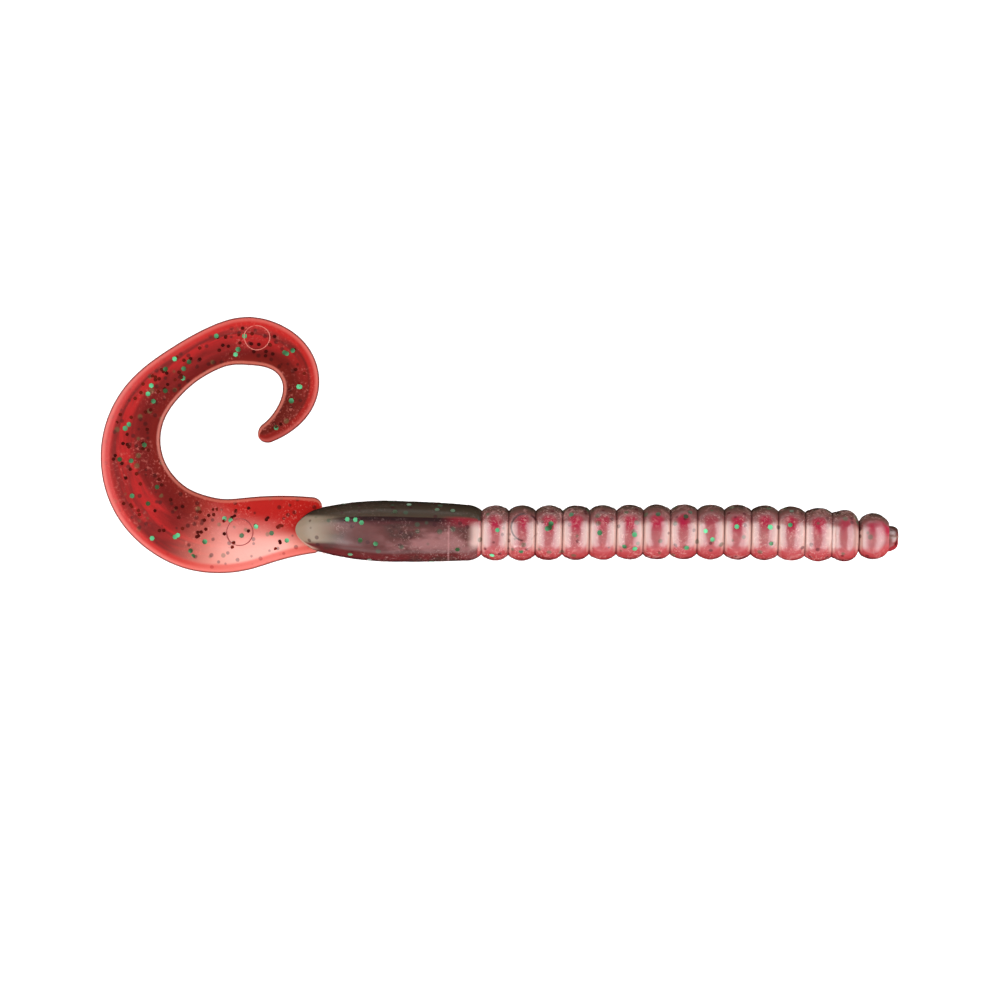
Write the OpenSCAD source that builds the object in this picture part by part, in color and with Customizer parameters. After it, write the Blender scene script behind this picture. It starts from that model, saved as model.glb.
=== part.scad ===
// Soft plastic fishing worm: a small round head, a ribbed body, a smooth collar and a flat tail
// that curls back on itself. It is one pour of clear red gel with loose glitter set in it.
// Every rib, every thin neck of gel between two ribs and every length of tail is a solid of its own,
// so the worm can bend the way the gel lets it.
// Millimetres. The origin is the centre of the nose's end face, +X points out of the nose and +Z is up.
// The tail curls towards +Y, and its flat length lies on the same surface as the collar.

/* [Head] */
// Diameter of the cut stub where the mould was filled
nub_d = 3.6; // [2.4:0.1:4.4]
// Length of the stub
nub_l = 1.6; // [1:0.1:2.2]
// Diameter of the round head
head_d = 7.3; // [6.4:0.1:7.6]
// Diameter of the thin neck behind the head
head_neck_d = 4.8; // [4.4:0.1:5.6]

/* [Ribbed body] */
// Number of ribs
ribs = 14; // [10:1:14]
// Distance from one rib to the next
rib_pitch = 4.2; // [4:0.1:5]
// Diameter over the crown of a rib
rib_d = 8.6; // [8.2:0.1:9]
// How much smaller in radius the first rib is
rib_taper = 0.25; // [0:0.05:0.4]
// Radius of the rounded crown, seen from the side
crown_r = 3.2; // [2.8:0.1:4]
// Diameter at the bottom of a groove
groove_d = 7; // [6.4:0.1:7.5]
// Length of the thin neck that flexes between two ribs
neck_l = 1.2; // [1.2:0.05:1.5]
// How far the body wanders to each side of a straight line as it lies
sway = 0.45; // [0:0.05:0.8]

/* [Collar] */
// Largest diameter of the smooth collar
collar_d = 9.5; // [9.4:0.1:10]
// Length of the collar
collar_l = 28.5; // [27:0.5:32]
// Radius of the long curve in front of the thickest place
collar_front_r = 180; // [140:10:240]
// Radius of the shorter curve behind the thickest place
collar_rear_r = 45; // [42:1:60]

/* [Tail] */
// Thickness of the flat tail
tail_t = 1.3; // [1:0.1:1.6]
// Thickness left at the very edge of the tail
rim_t = 0.5; // [0.3:0.1:0.8]
// Width of the bevel along the outer edge of the curl
outer_bevel = 1.3; // [0.8:0.1:1.4]
// Width of the bevel along the inner edge of the curl
inner_bevel = 0.8; // [0.5:0.1:1]
// Distance from one flexing line in the tail to the next
tail_pitch = 11; // [10:0.5:11]
// Length of the strip that flexes
web_l = 1; // [0.8:0.1:1.2]

/* [Glitter] */
// Width of a green flake across its corners
green_d = 0.8; // [0.6:0.1:1.2]
// Width of a dark flake across its corners
dark_d = 0.6; // [0.4:0.1:1]
// Thickness of a flake
flake_t = 0.08; // [0.06:0.02:0.12]
// Green flakes in one length of tail
green_count = 4; // [1:1:12]
// Dark flakes in one length of tail
dark_count = 12; // [1:1:20]
// Green flakes in the collar
collar_count = 26; // [1:1:60]

/* [Hidden] */
blades = 6;

// The tail's course: [distance along it, heading in degrees], where 180 points straight back from the nose.
tail_heading = [
    [0, 180], [12, 195], [24, 150], [36, 99], [48, 47], [60, 24], [70, -26], [80, -118],
    [88, -158]
];
// The tail's outline: [distance along it, width]
tail_width = [
    [0, 8.4], [12, 11.3], [20, 12], [30, 11], [44, 8.2], [54, 6.5], [60, 6.6], [65, 7.8],
    [70, 6.9], [80, 5.2], [88, 2.6]
];
tail_l = 88;
tail_start_y = 0.3;
// How far the tail's root reaches into the collar
root_depth = 4.2;
// Rounding of the corners at the tail's root, and of its tip
root_corner_r = 1.4;
tip_r = 1.5;
// Width left at the very end of the tip
tip_end_w = 0.2;
first_web_s = 7;
// The stretch over which the tail comes down from the collar's middle to the surface that it lies on
drop_start_s = 2;
drop_l = 18;
station_gap = 1.2;
// How far the edges of a course or an outline are rounded off to each side of a station
blend_s = 2;
// Length over which the tail's slope is measured
slope_l = 0.2;

// How much of the front ribs' taper is left at each next rib
taper_left = 0.4;
head_crown_r = 2.9;
collar_shoulder_r = 3.8;
collar_shoulder_l = 1.8;
collar_thickest = 13.8;
collar_dome_r = 3;

// How far a flake stands out of the gel: a dark one lies under a green one where the two cross.
green_proud = 0.03;
dark_proud = 0.015;
// Bands without flakes: along both edges of the tail, and at the rear end of the collar
tail_margin = 1.7;
collar_margin = 6;
// Seeds of the random scatter. Each list of random numbers takes its own.
collar_seed = 11;
green_seed = 200;
dark_seed = 500;
second_list = 50;
third_list = 100;

round_fn = 96;
facets_per_mm = 4;

rest_z = -collar_d / 2;
rib_l = rib_pitch - neck_l;
head_l = 4.1;
head_x = -4.1;
head_rear_x = -nub_l - head_l;
collar_x = neck_x(ribs + 1) - neck_l / 2;
collar_end_x = collar_x - collar_l;
tail_start_x = collar_end_x + root_depth;
blade_ids = [for (i = [1:blades]) i];

red = [0.72, 0.1, 0.13];
dark_red = [0.42, 0.08, 0.1];
pink = [0.85, 0.4, 0.42];
plum = [0.45, 0.2, 0.22];
green = [0.2, 0.75, 0.45];
maroon = [0.2, 0.05, 0.06];

// Names
function two_digits(i) = str(i < 10 ? "0" : "", i);
function rib_name(i) = str("rib_", two_digits(i));
function neck_name(i) = str("neck_", two_digits(i));

// Places along the body
function neck_x(i) = head_rear_x - neck_l / 2 - rib_pitch * (i - 1);
function rib_x(i) = neck_x(i) - rib_pitch / 2;
function sway_y(x) = sway * sin(360 * x / collar_end_x);
// The collar is straight, so it takes the sway of one place, a third of the way along it.
function collar_y() = sway_y(collar_x - collar_l / 3);

// Radii along the body
function crown_sag(dx, r) = r - sqrt(r * r - dx * dx);
function rib_r(i) = rib_d / 2 - rib_taper * pow(taper_left, i - 1);
function rib_face_r(i) = rib_r(i) - crown_sag(rib_l / 2, crown_r);
function head_r(x) = head_d / 2 - crown_sag(x - head_x, head_crown_r);
function collar_long_r(x) = let (from_thickest = x - collar_x + collar_thickest)
    collar_d / 2 - crown_sag(from_thickest, from_thickest > 0 ? collar_front_r : collar_rear_r);
function collar_shoulder_x() = collar_x - collar_shoulder_l;
function collar_face_r() =
    collar_long_r(collar_shoulder_x()) - crown_sag(collar_shoulder_l, collar_shoulder_r);

// The tail's course, width and height at a distance s along it
function eased(s, table) =
    (lookup(s - blend_s, table) + 2 * lookup(s, table) + lookup(s + blend_s, table)) / 4;
function heading(s) = eased(s, tail_heading);
// How much of a circle's radius is left, where the share of the way to its edge is known
function rounding(share) = sqrt(1 - pow(max(0, min(1, share)), 2));
function root_cut(s) = root_corner_r * (1 - rounding(1 - s / root_corner_r));
function tip_share(s) = rounding(1 - (tail_l - s) / tip_r);
function half_width(s) =
    max(tip_end_w / 2, (eased(s, tail_width) / 2 - root_cut(s)) * tip_share(s));
function drop(s) = let (u = max(0, min(1, (s - drop_start_s) / drop_l))) u * u * (3 - 2 * u);
function tail_z(s) = (rest_z + tail_t / 2) * drop(s);
function slope(s) = atan2(tail_z(s + slope_l / 2) - tail_z(s - slope_l / 2), slope_l);

// The course is summed up in short steps from the tail's start.
step = 0.25;
course = [
    for (
        i = 0, x = tail_start_x, y = tail_start_y;
        i <= tail_l / step;
        x = x + step * cos(heading((i + 0.5) * step)),
        y = y + step * sin(heading((i + 0.5) * step)),
        i = i + 1
    ) [x, y]
];
function on_course(s) = let (i = min(floor(s / step), len(course) - 2), f = s / step - i)
    course[i] * (1 - f) + course[i + 1] * f;

// A point of the tail: s along it, u across it towards the outside of the curl, v up from its middle
function tail_point(s, u, v) = let (c = on_course(s), a = heading(s) + 90)
    [c[0] + u * cos(a), c[1] + u * sin(a), tail_z(s) + v];

// The tail's section at s, from the outer edge's top round to its bottom
function section(s) = let (
    w = half_width(s),
    bevel = min(1, w / (outer_bevel + inner_bevel)),
    outer = w - outer_bevel * bevel,
    inner = -w + inner_bevel * bevel,
    flat = tail_t / 2,
    rim = rim_t / 2,
    top = [[w, rim], [outer, flat], [inner, flat], [-w, rim]],
    bottom = [for (k = [3:-1:0]) [top[k][0], -top[k][1]]]
) [for (p = concat(top, bottom)) tail_point(s, p[0], p[1])];

// Skins a list of closed sections that all have the same number of points.
module skin(sections) {
    n = len(sections[0]);
    last = len(sections) - 1;
    points = [for (one = sections, p = one) p];
    sides = [
        for (k = [0:last - 1], i = [0:n - 1], half = [0, 1])
            let (a = k * n + i, b = k * n + (i + 1) % n)
                half == 0 ? [a, b, b + n] : [a, b + n, a + n]
    ];
    start_cap = [for (i = [1:n - 2]) [0, i + 1, i]];
    end_cap = [for (i = [1:n - 2]) [last * n, last * n + i, last * n + i + 1]];
    polyhedron(points, concat(sides, start_cap, end_cap));
}

// A stretch of tail from s = a to s = b
module tail_stretch(a, b) {
    steps = max(2, ceil((b - a) / station_gap));
    skin([for (i = [0:steps]) section(a + (b - a) * i / steps)]);
}

// A solid of revolution about the body's line, from a profile drawn as [x, radius]
module turned() {
    rotate([90, 0, 90])
        rotate_extrude($fn = round_fn)
            rotate([0, 0, 90])
                mirror([0, 1])
                    children();
}

// The part of a crowned profile between two planes: the crown's top is at x = 0.
module crown(top_r, r, from_x, to_x) {
    intersection() {
        translate([0, top_r - r]) circle(r, $fn = max(round_fn, facets_per_mm * r));
        translate([from_x, 0]) square([to_x - from_x, top_r]);
    }
}

module nose_nub() {
    color(dark_red)
        translate([-nub_l, 0, 0])
            rotate([0, 90, 0])
                cylinder(h = nub_l, d = nub_d, $fn = round_fn);
}

module head_ball() {
    color(pink)
        translate([head_x, 0, 0])
            turned() crown(head_d / 2, head_crown_r, head_rear_x - head_x, -nub_l - head_x);
}

module rib(i) {
    color(pink)
        translate([rib_x(i), sway_y(rib_x(i)), 0])
            turned() crown(rib_r(i), crown_r, -rib_l / 2, rib_l / 2);
}

// The V-shaped groove's floor between two ribs
module neck(i) {
    front_r = i == 1 ? head_r(head_rear_x) : rib_face_r(i - 1);
    rear_r = i == ribs + 1 ? collar_face_r() : rib_face_r(i);
    floor_r = (i == 1 ? head_neck_d : groove_d) / 2;
    half = neck_l / 2;
    color(dark_red)
        translate([neck_x(i), sway_y(neck_x(i)), 0])
            turned() polygon([[-half, 0], [-half, rear_r], [0, floor_r], [half, front_r], [half, 0]]);
}

module collar() {
    color(plum)
        translate([collar_x, collar_y(), 0])
            turned() {
                translate([-collar_shoulder_l, 0])
                    crown(collar_long_r(collar_shoulder_x()), collar_shoulder_r, 0, collar_shoulder_l);
                translate([-collar_thickest, 0])
                    crown(collar_d / 2, collar_front_r, 0, collar_thickest - collar_shoulder_l);
                intersection() {
                    translate([-collar_thickest, 0])
                        crown(collar_d / 2, collar_rear_r, collar_thickest - collar_l, 0);
                    union() {
                        translate([collar_dome_r - collar_l, 0]) circle(collar_dome_r, $fn = round_fn);
                        translate([collar_dome_r - collar_l, 0])
                            square([collar_l - collar_dome_r, collar_d]);
                    }
                }
            }
}

module tail_root() {
    color(red) tail_stretch(0, first_web_s - web_l / 2);
}

function web_s(i) = first_web_s + tail_pitch * (i - 1);

module tail_web(i) {
    color(dark_red) tail_stretch(web_s(i) - web_l / 2, web_s(i) + web_l / 2);
}

module tail_blade(i) {
    color(red) tail_stretch(web_s(i) + web_l / 2, web_s(i + 1) - web_l / 2);
}

module tail_tip() {
    color(red) tail_stretch(web_s(blades + 1) + web_l / 2, tail_l);
}

module flake(d) {
    cylinder(h = flake_t, d = d, $fn = 6);
}

// Flakes lying in the upper surface of one length of tail
module tail_flakes(i, d, count, proud, seed) {
    from_s = web_s(i) + web_l / 2 + d;
    to_s = web_s(i + 1) - web_l / 2 - d;
    along = rands(from_s, to_s, count, seed + i);
    across = rands(-1, 1, count, seed + i + second_list);
    turns = rands(0, 60, count, seed + i + third_list);
    for (k = [0:count - 1]) {
        s = along[k];
        u = across[k] * (half_width(s) - tail_margin);
        translate(tail_point(s, u, tail_t / 2 + proud - flake_t))
            rotate([0, 0, heading(s)])
                rotate([0, -slope(s), turns[k]])
                    flake(d);
    }
}

module green_flakes_collar() {
    from_x = collar_shoulder_l + green_d;
    along = rands(from_x, collar_l - collar_margin, collar_count, collar_seed);
    around = rands(0, 360, collar_count, collar_seed + second_list);
    color(green)
        translate([collar_x, collar_y(), 0])
            for (k = [0:collar_count - 1])
                let (out = collar_long_r(collar_x - along[k]) + green_proud - flake_t)
                    rotate([around[k], 0, 0]) translate([-along[k], 0, out]) flake(green_d);
}

module green_flakes_tail(i) {
    color(green) tail_flakes(i, green_d, green_count, green_proud, green_seed);
}

module dark_flakes_tail(i) {
    color(maroon) tail_flakes(i, dark_d, dark_count, dark_proud, dark_seed);
}

nose_nub();
head_ball();
for (i = [1:ribs])
    rib(i);
for (i = [1:ribs + 1])
    neck(i);
collar();
tail_root();
for (i = blade_ids)
    tail_blade(i);
tail_tip();
for (i = [1:blades + 1])
    tail_web(i);
green_flakes_collar();
for (i = blade_ids)
    green_flakes_tail(i);
for (i = blade_ids)
    dark_flakes_tail(i);
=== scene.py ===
"""The looks of a soft plastic worm: clear red gel with glitter in it, over a white table."""

import math
import random

import bmesh
import bpy
import numpy as np
from mathutils import Matrix, Vector, noise


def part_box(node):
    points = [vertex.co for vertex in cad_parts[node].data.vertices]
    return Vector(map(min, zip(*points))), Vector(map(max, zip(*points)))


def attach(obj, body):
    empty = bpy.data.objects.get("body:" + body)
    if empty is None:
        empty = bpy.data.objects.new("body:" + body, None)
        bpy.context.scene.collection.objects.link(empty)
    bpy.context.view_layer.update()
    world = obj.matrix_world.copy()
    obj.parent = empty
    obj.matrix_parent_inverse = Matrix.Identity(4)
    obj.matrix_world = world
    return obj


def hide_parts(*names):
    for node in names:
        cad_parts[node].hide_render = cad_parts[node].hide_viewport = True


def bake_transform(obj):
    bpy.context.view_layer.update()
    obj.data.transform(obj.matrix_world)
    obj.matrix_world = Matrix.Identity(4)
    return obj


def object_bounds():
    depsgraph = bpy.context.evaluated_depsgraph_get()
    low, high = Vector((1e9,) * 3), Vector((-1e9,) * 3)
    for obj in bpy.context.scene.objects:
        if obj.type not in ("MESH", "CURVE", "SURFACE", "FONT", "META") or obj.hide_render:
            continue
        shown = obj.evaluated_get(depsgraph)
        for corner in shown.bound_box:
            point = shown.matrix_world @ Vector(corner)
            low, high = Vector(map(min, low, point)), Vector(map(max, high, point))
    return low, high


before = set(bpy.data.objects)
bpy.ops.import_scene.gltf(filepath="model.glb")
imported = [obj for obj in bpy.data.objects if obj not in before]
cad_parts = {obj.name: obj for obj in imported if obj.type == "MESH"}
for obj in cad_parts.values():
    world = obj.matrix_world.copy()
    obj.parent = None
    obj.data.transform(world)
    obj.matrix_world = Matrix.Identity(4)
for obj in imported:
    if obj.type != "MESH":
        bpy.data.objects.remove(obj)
cad_low, cad_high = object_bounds()

MM = 0.001
RIBS = 14
TAIL_JOINTS = 7

# Body, in millimetres
SEGMENTS = 128
CROWN_R = 3.2
FIRST_RIB_FRONT_R = 2.1
HEAD_CROWN_R = 2.9
GROOVE_FLOOR_R = 3.45
HEAD_GROOVE_FLOOR_R = 2.4
GROOVE_REACH = 2.1
NUB_R = 1.8
NUB_CUT = 0.22
CHIP = (0.0, -0.7, 0.9)
CHIP_R = 0.8
CHIP_DEPTH = 0.5
COLLAR_FRONT_R = 180
COLLAR_REAR_R = 45
COLLAR_SHOULDER_R = 3.8
COLLAR_SHOULDER_L = 1.8
COLLAR_THICKEST = 13.8
COLLAR_DOME_L = 3.3
ROOT_DEPTH = 4.2
COLLAR_SEAM_X = -70.2
HEAD_CREST_X = -4.1
HEAD_SHIFT_Y = 0.2
MIDDLE_Z = 0
COLLAR_REAR_X, COLLAR_FRONT_X = (corner.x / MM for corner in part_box("collar"))

# How far the surface is off round, in millimetres, and the ridge that the mould's two halves leave along
# both sides: its height in millimetres, and its half width as an angle in radians
RIB_WOBBLE = 0.10
HEAD_WOBBLE = 0.12
NUB_WOBBLE = 0.3
COLLAR_WOBBLE = 0.04
PARTING_RIDGE = 0.07
PARTING_RIDGE_ANGLE = 0.05

# Tail, in millimetres: the same course and outline as the frame's
TAIL_HEADING = [
    (0, 180), (12, 195), (24, 150), (36, 99), (48, 47), (60, 24), (70, -26), (80, -118), (88, -158),
]
TAIL_WIDTH = [
    (0, 8.4), (12, 11.3), (20, 12), (30, 11), (44, 8.2), (54, 6.5), (60, 6.6), (65, 7.8), (70, 6.9),
    (80, 5.2), (88, 2.6),
]
TAIL_L = 88
TAIL_END_R = 1.5
TAIL_ROOT_R = 1.4
TAIL_START_Y = 0.3
TAIL_T = 1.3
TAIL_PITCH = 11
FIRST_WEB = 7
DROP_START = 2
DROP_L = 18
EASE = 2
COURSE_STEP = 0.25
STATION_GAP = 0.4
OUTER_BEVEL = 1.4
INNER_BEVEL = 0.9
DISH = 0.05

# Round marks that the mould's pins leave: on the ribs at (x, y), on the tail at (joint, s, u, radius)
BODY_MARK = (-58.4, 0.6)
BODY_MARK_R = 2.1
TAIL_MARKS = ((2, 13, -0.4, 2.1), (6, 66.2, 0.6, 1.9))
MARK_RIDGE_R = 0.07

# Crumbs of gel that leaked between the mould's halves: a large one near the collar's rear, and small ones
LARGE_CRUMB_FROM_REAR = 4.6
LARGE_CRUMB_R = 0.34
CRUMBS = 22
CRUMB_X = (-88, -68)
CRUMB_R = (0.07, 0.17)
CRUMB_Z = 0.3
CRUMB_SEED = 3

# Glitter, in millimetres
GREEN_D = 0.85
DARK_D = 0.6
FLAKE_T = 0.05
FLAKE_PROUD = 0.02
TAIL_FLAKE_DEPTH = 0.02
FLAKE_SPREAD_DEG = 58
FLAKE_EDGE_BAND = 1.6
FLAKE_SIZES = (0.85, 1.05)
HEAD_FLAKES = 5
RIB_FLAKES = (2, 5)
FLEX_FLAKES = {"green": 3, "dark": 9}
FLEX_FLAKES_SPAN = 1.8
TIP_FLAKES_MORE = 3
SMOKE_START_Y = 2.0
SMOKE_FULL_Y = 2.6
GLITTER_SEED = 7


def srgb(red, green, blue):
    """A colour given as 0 to 255 for the screen, as linear light."""
    def linear(c):
        c = c / 255
        return c / 12.92 if c <= 0.04045 else ((c + 0.055) / 1.055) ** 2.4
    return (linear(red), linear(green), linear(blue), 1.0)


# ---------------------------------------------------------------- materials

class Shader:
    """A material's node tree, with short calls for the nodes that the gels use."""

    def __init__(self, name):
        self.material = bpy.data.materials.new(name)
        self.material.use_nodes = True
        self.tree = self.material.node_tree
        self.bsdf = self.tree.nodes["Principled BSDF"]

    def add(self, kind, **settings):
        made = self.tree.nodes.new(kind)
        for key, value in settings.items():
            setattr(made, key, value)
        return made

    def link(self, value, socket):
        if isinstance(value, bpy.types.NodeSocket):
            self.tree.links.new(value, socket)
        else:
            socket.default_value = value

    def set(self, **values):
        for key, value in values.items():
            self.link(value, self.bsdf.inputs[key.replace("_", " ")])

    def math(self, operation, a, b=0.0):
        made = self.add("ShaderNodeMath", operation=operation)
        self.link(a, made.inputs[0])
        self.link(b, made.inputs[1])
        return made.outputs[0]

    def times(self, *factors):
        """The product of all the factors, each of them a socket or a number."""
        product = factors[0]
        for factor in factors[1:]:
            product = self.math("MULTIPLY", product, factor)
        return product

    def swing(self, value, size):
        """A value that runs from 0 to 1, as one that runs from -size / 2 to size / 2."""
        return self.times(self.math("SUBTRACT", value, 0.5), size)

    def paint(self, colour, over, *amounts):
        """Lays the second colour over the first, as much as the product of the amounts."""
        made = self.add("ShaderNodeMix", data_type="RGBA")
        self.link(self.times(*amounts), made.inputs["Factor"])
        self.link(colour, made.inputs[6])
        self.link(over, made.inputs[7])
        return made.outputs[2]

    def ramp(self, value, stops):
        made = self.add("ShaderNodeValToRGB")
        elements = made.color_ramp.elements
        while len(elements) < len(stops):
            elements.new(0.5)
        for element, (position, colour) in zip(elements, stops):
            element.position = position
            element.color = colour
        self.link(value, made.inputs[0])
        return made.outputs[0]

    def band(self, value, low, high, low_value=0.0, high_value=1.0):
        """low_value at low and before it, high_value at high and beyond it, and a smooth S between."""
        made = self.add("ShaderNodeMapRange", interpolation_type="SMOOTHSTEP")
        for socket, number in zip(made.inputs[1:], (low, high, low_value, high_value)):
            socket.default_value = number
        self.link(value, made.inputs[0])
        return made.outputs[0]

    def band_linear(self, value, low, high):
        """0 at low, 1 at high, in proportion between."""
        made = self.add("ShaderNodeMapRange")
        made.inputs["From Min"].default_value = low
        made.inputs["From Max"].default_value = high
        self.link(value, made.inputs[0])
        return made.outputs[0]

    def place(self):
        """Where the point is on the worm at rest, in metres, so that patterns stay put when the gel bends."""
        return self.add("ShaderNodeAttribute", attribute_name="rest_place").outputs["Vector"]

    def object_place(self):
        return self.add("ShaderNodeTexCoord").outputs["Object"]

    def attribute(self, name):
        return self.add("ShaderNodeAttribute", attribute_name=name).outputs["Fac"]

    def ring(self, centre, radius, width):
        """1 on a ring drawn down through the gel: centre is (x, y), and all lengths are in millimetres."""
        split = self.add("ShaderNodeSeparateXYZ")
        self.link(self.place(), split.inputs[0])
        dx = self.math("SUBTRACT", split.outputs[0], centre[0] * MM)
        dy = self.math("SUBTRACT", split.outputs[1], centre[1] * MM)
        squares = self.math("ADD", self.math("POWER", dx, 2.0), self.math("POWER", dy, 2.0))
        off = self.math("ABSOLUTE", self.math("SUBTRACT", self.math("SQRT", squares), radius * MM))
        on_top = self.math("GREATER_THAN", split.outputs[2], 0.0)
        return self.times(self.band(off, 0.3 * width * MM, width * MM, 1.0, 0.0), on_top)

    def noise(self, scale, detail=2.0, rough=0.5, distortion=0.0, place=None):
        made = self.add("ShaderNodeTexNoise")
        self.link(place or self.place(), made.inputs["Vector"])
        settings = {"Scale": scale, "Detail": detail, "Roughness": rough, "Distortion": distortion}
        for key, value in settings.items():
            made.inputs[key].default_value = value
        return made.outputs["Fac"]

    def streaks(self, along_scale, across_scale, detail=3.0, distortion=0.4):
        """Noise drawn out along the gel's flow: the scales are in cycles a millimetre."""
        flow = self.add("ShaderNodeCombineXYZ")
        self.link(self.times(self.attribute("along"), along_scale), flow.inputs[0])
        self.link(self.times(self.attribute("across_mm"), across_scale), flow.inputs[1])
        return self.noise(1.0, detail, 0.55, distortion, flow.outputs[0])

    def facing_away(self):
        """0 where the surface faces the viewer, 1 where it is seen edge on."""
        made = self.add("ShaderNodeLayerWeight")
        made.inputs["Blend"].default_value = 0.5
        return made.outputs["Facing"]

    def spots(self, cell, radius, share, seed):
        """1 inside scattered round spots: cell and radius are in metres, and share of the cells hold one."""
        shift = self.add("ShaderNodeVectorMath", operation="ADD")
        self.link(self.place(), shift.inputs[0])
        shift.inputs[1].default_value = (seed, seed * 0.7, seed * 0.3)
        cells = self.add("ShaderNodeTexVoronoi", feature="F1")
        self.link(shift.outputs[0], cells.inputs["Vector"])
        cells.inputs["Scale"].default_value = 1 / cell
        pick = self.add("ShaderNodeSeparateColor")
        self.link(cells.outputs["Color"], pick.inputs[0])
        chosen = self.math("LESS_THAN", pick.outputs[0], share)
        inside = self.band(cells.outputs["Distance"], 0.75 * radius / cell, 1.15 * radius / cell, 1.0, 0.0)
        return self.times(inside, chosen)

    def bump(self, height, distance):
        made = self.add("ShaderNodeBump")
        made.inputs["Strength"].default_value = 1.0
        made.inputs["Distance"].default_value = distance
        self.link(height, made.inputs["Height"])
        return made.outputs["Normal"]


def flecks(shader, colour, pale, amount):
    """Fine pale scratches and frost in patches, as on gel that has rubbed against other gel."""
    fine = shader.band(shader.noise(2600, 3.0, 0.6, 0.8), 0.54, 0.66)
    patch = shader.band(shader.noise(170, 2.0), 0.44, 0.6)
    return shader.paint(colour, pale, fine, patch, amount)


def gel_surface(shader, colour, scatter, wrinkle, coat_roughness=0.16, polish=1.0):
    """What every gel shares: a wet gloss over a softly scattering body, with faint mould wrinkles.
    The gloss fades where the surface is seen edge on, as clear gel shows no sky there."""
    gloss = shader.times(shader.band(shader.facing_away(), 0.22, 0.36, 1.0, 0.0), polish)
    shader.set(
        Base_Color=colour,
        Roughness=0.3,
        IOR=1.45,
        Specular_IOR_Level=shader.times(gloss, 0.3),
        Coat_Weight=gloss,
        Coat_Roughness=coat_roughness,
        Coat_IOR=1.8,
        Subsurface_Weight=scatter,
        Subsurface_Radius=(1.0, 0.25, 0.2),
        Subsurface_Scale=0.0007,
        Normal=shader.bump(shader.noise(900, 3.0, 0.6), wrinkle),
    )


def add_deep_glitter(shader, colour, green_colour, dark_colour, dark_share=0.3):
    """The flakes that lie below the surface, dulled by the gel over them."""
    green = shader.spots(1.9 * MM, 0.45 * MM, 0.45, 0.013)
    colour = shader.paint(colour, green_colour, green, 0.6)
    dark = shader.spots(1.3 * MM, 0.36 * MM, dark_share, 0.031)
    return shader.paint(colour, dark_colour, dark, 0.65)


def groove_wall_highlights(shader, colour, crest, level):
    """Painted pale highlights beside each groove: on each rib's flank, and paler on the groove's walls."""
    flank_highlight = shader.times(shader.band(crest, 0.62, 0.3), shader.band(level, 0.16, 0.3))
    colour = shader.paint(colour, srgb(186, 148, 138), flank_highlight, shader.band(level, 0.8, 0.6), 0.55)
    # Painted highlight on the groove's walls.
    wall = shader.times(shader.band(crest, 0.32, 0.12), shader.band(level, 0.8, 0.6))
    return shader.paint(colour, srgb(214, 176, 164), wall, shader.band(level, 0.06, 0.2), 0.5)


def crest_bands(shader, colour, crest, level, wander, least_crimson):
    """Crimson along each rib's crest, strongest a little above the middle, and uneven from rib to rib."""
    strength = shader.band(shader.noise(210, 1.0), 0.36, 0.56, least_crimson, 1.0)
    uneven_crest = shader.math("ADD", crest, shader.times(wander, 2.0))
    patch = shader.ramp(level, [
        (0.25, (0.0, 0.0, 0.0, 1.0)), (0.5, (0.45, 0.45, 0.45, 1.0)), (0.64, (1.0, 1.0, 1.0, 1.0)),
        (0.76, (0.9, 0.9, 0.9, 1.0)), (0.86, (0.0, 0.0, 0.0, 1.0)),
    ])
    return shader.paint(colour, srgb(160, 24, 56), shader.band(uneven_crest, 0.3, 0.8), strength, patch)


def collar_edge(shader, colour, level):
    """The rear half of the collar's groove, which goes on in the collar's colours."""
    low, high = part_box(f"neck_{RIBS + 1}")
    floor_x = (low.x + high.x) / 2 / MM
    behind = shader.band(shader.attribute("along"), floor_x, floor_x - 0.25)
    crimson = shader.times(shader.band(level, 0.56, 0.7), shader.band(level, 0.8, 0.74))
    colour = shader.paint(colour, srgb(150, 34, 50), crimson, behind, 0.7)
    return shader.paint(colour, srgb(58, 46, 37), shader.band(level, 0.735, 0.75), behind)


def rib_gel(name, groove_shade_colour, coat_roughness=0.2, polish=0.78, least_crimson=0.45, at_collar=False):
    """Gel that is smoke-dark along the back, crimson on the crest of each rib and coral at the belly."""
    shader = Shader(name)
    wander = shader.swing(shader.noise(300, 3.0, 0.6, 0.6), 0.22)
    level = shader.band_linear(shader.math("ADD", shader.attribute("across"), wander), -1.0, 1.0)
    crest = shader.attribute("crest")
    # The first and the last stop are painted edge shade along both sides.
    colour = shader.ramp(level, [
        (0.00, srgb(80, 18, 22)), (0.05, srgb(154, 54, 56)), (0.18, srgb(172, 76, 80)),
        (0.30, srgb(158, 90, 92)), (0.42, srgb(160, 104, 102)), (0.58, srgb(156, 98, 98)),
        (0.70, srgb(134, 72, 74)), (0.84, srgb(116, 70, 68)), (0.96, srgb(74, 56, 48)),
        (1.00, srgb(34, 24, 20)),
    ])
    colour = groove_wall_highlights(shader, colour, crest, level)
    colour = crest_bands(shader, colour, crest, level, wander, least_crimson)
    cloud = shader.band(shader.noise(520, 4.0, 0.62, 1.2), 0.5, 0.75)
    colour = shader.paint(colour, srgb(222, 160, 156), cloud, 0.3)
    colour = add_deep_glitter(shader, colour, srgb(60, 84, 62), srgb(70, 22, 30))
    colour = flecks(shader, colour, srgb(222, 178, 170), 0.35)
    mark = shader.ring(BODY_MARK, BODY_MARK_R, 0.22)
    colour = shader.paint(colour, srgb(62, 28, 32), mark, shader.band(shader.noise(700), 0.35, 0.55), 0.85)
    if at_collar:
        colour = collar_edge(shader, colour, level)
    # Painted shade in the bottom of each groove.
    colour = shader.paint(colour, groove_shade_colour, shader.band(crest, 0.02, 0.09, 0.45, 0.0))
    gel_surface(shader, colour, 0.12, 0.00012, coat_roughness, polish)
    return shader.material


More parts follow.
